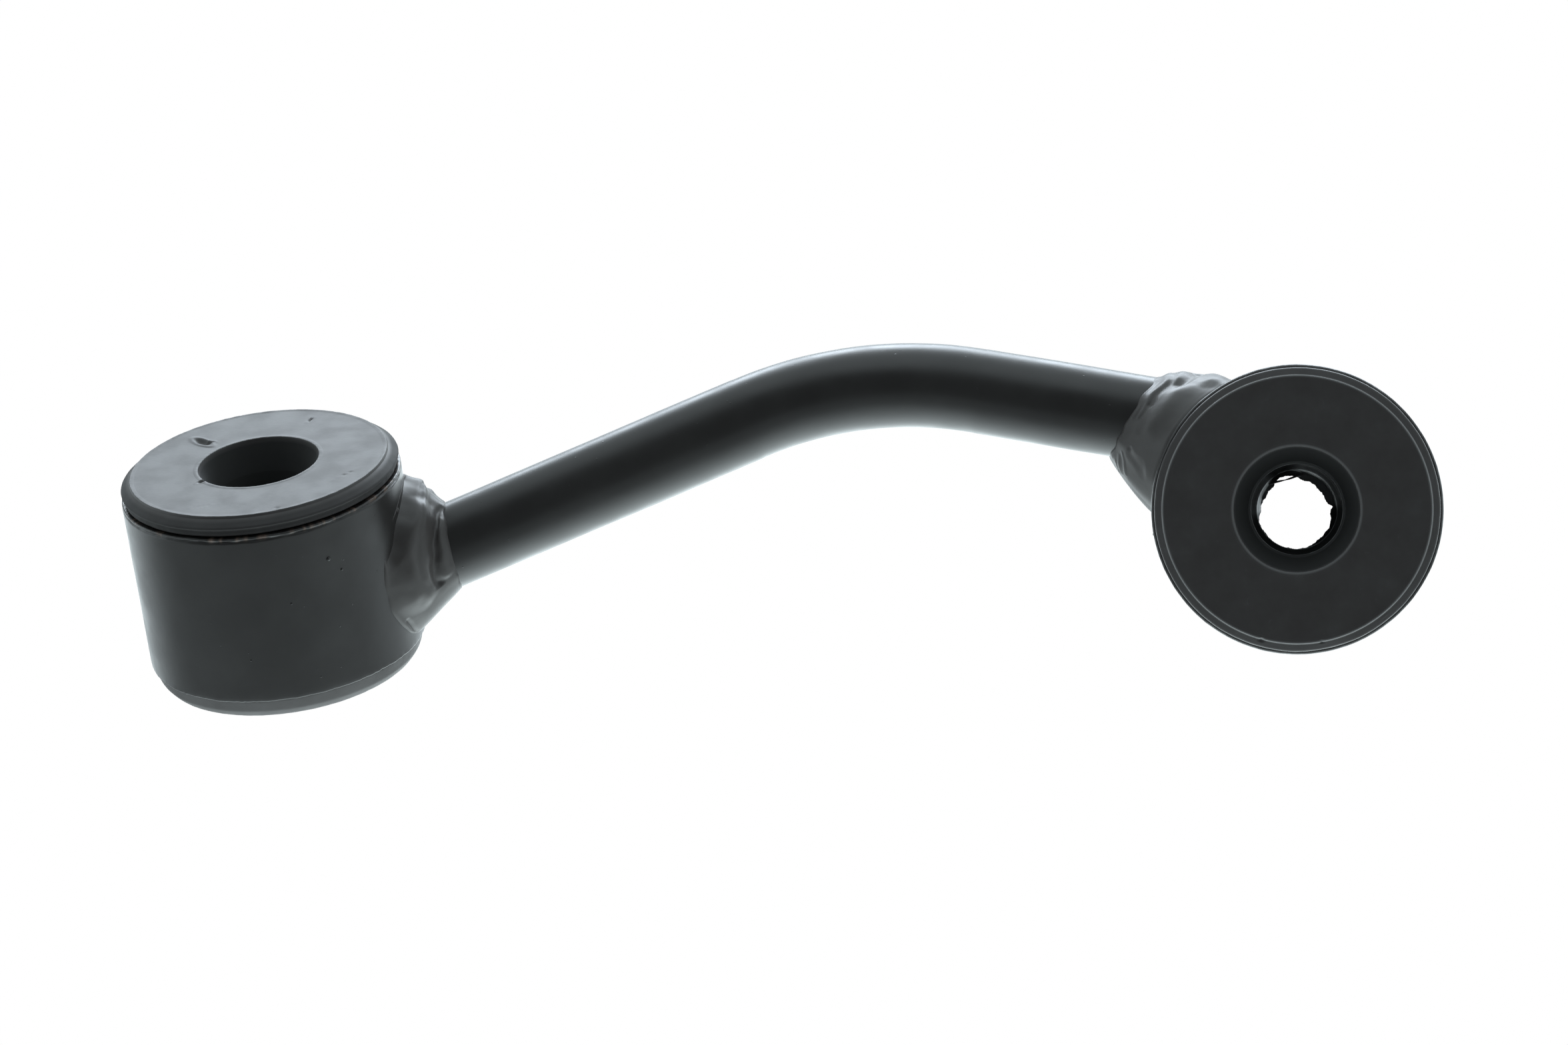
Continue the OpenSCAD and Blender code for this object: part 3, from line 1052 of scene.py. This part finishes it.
def studio_light(tree):
    """The light from each direction: bright from behind and above, and dim in front."""
    coordinates = tree.nodes.new("ShaderNodeTexCoord")
    parts = tree.nodes.new("ShaderNodeSeparateXYZ")
    tree.links.new(coordinates.outputs["Generated"], parts.inputs[0])
    x, y, z = parts.outputs
    sides = add_range(tree, y, -0.6, 0.3, 0.17, 0.62)
    flanks = add_range(tree, add_maths(tree, "ABSOLUTE", x, 0), 0.65, 1.0, 0.0, 0.85)
    sides = add_maths(tree, "ADD", sides, flanks)
    behind = add_maths(tree, "POWER", add_range(tree, y, 0.35, 1.05, 0, 1), 1.2)
    behind = add_maths(tree, "MULTIPLY", behind, add_range(tree, z, 0.1, 0.55, 1.9, 0.3))
    above = add_range(tree, z, 0.52, 0.9, 0.0, 1.1)
    above = add_maths(tree, "MULTIPLY", above, add_range(tree, y, -0.4, 0.2, 1, 0.5))
    return add_maths(tree, "ADD", add_maths(tree, "ADD", sides, behind), above)


def add_surroundings():
    """Plain white for the camera, and the studio's light for everything else."""
    world = bpy.data.worlds.new("studio")
    bpy.context.scene.world = world
    world.use_nodes = True
    tree = world.node_tree
    tree.nodes.clear()
    shown = tree.nodes.new("ShaderNodeBackground")
    shown.inputs["Color"].default_value = WHITE
    lighting = tree.nodes.new("ShaderNodeBackground")
    lighting.inputs["Color"].default_value = COOL_WHITE
    tree.links.new(studio_light(tree), lighting.inputs["Strength"])
    path = tree.nodes.new("ShaderNodeLightPath")
    mix = tree.nodes.new("ShaderNodeMixShader")
    output = tree.nodes.new("ShaderNodeOutputWorld")
    tree.links.new(path.outputs["Is Camera Ray"], mix.inputs["Fac"])
    tree.links.new(lighting.outputs[0], mix.inputs[1])
    tree.links.new(shown.outputs[0], mix.inputs[2])
    tree.links.new(mix.outputs[0], output.inputs["Surface"])


add_camera()
add_floor()
add_soft_light("overhead", (-0.1, 0.76, 0.81), (-0.08, 0, 0), (1.2, 0.4), 11.6)
add_surroundings()
bpy.context.scene.view_settings.view_transform = "Standard"

make_rod()
make_ring(
    "left_tube", LEFT_EYE, "left_eye_ring", upper_round=0.2, lower_round=0.35, groove=0.22, seed=11
)
make_ring(
    "right_tube", RIGHT_EYE, "right_eye_ring", upper_round=0.5, lower_round=0.5, groove=0.0, seed=21
)
make_bush(
    "left_rubber", LEFT_EYE, "left_bush", LIP_R + 0.3,
    drop=1.3, painted_light=0.1, lip_shade=0.6, defects=LEFT_DEFECTS, seed=31,
)
make_bush(
    "right_rubber", RIGHT_EYE, "right_bush", LIP_R - 0.1,
    drop=0.85, painted_light=1.0, lip_shade=0.0, defects=RIGHT_DEFECTS, seed=41,
)
make_weld("left_bead", LEFT_EYE, "left_weld", LEFT_FOOT, TO_RIGHT, LEFT_WELD_SHAPE, seed=51)
make_weld("right_bead", RIGHT_EYE, "right_weld", RIGHT_FOOT, TO_LEFT, RIGHT_WELD_SHAPE, seed=61)
make_specks("left_specks", LEFT_EYE, LEFT_SPATTER, seed=71)
make_specks("right_specks", RIGHT_EYE, RIGHT_SPATTER, seed=81)
make_strand("right_flash_strand", RIGHT_EYE, "right_bush")
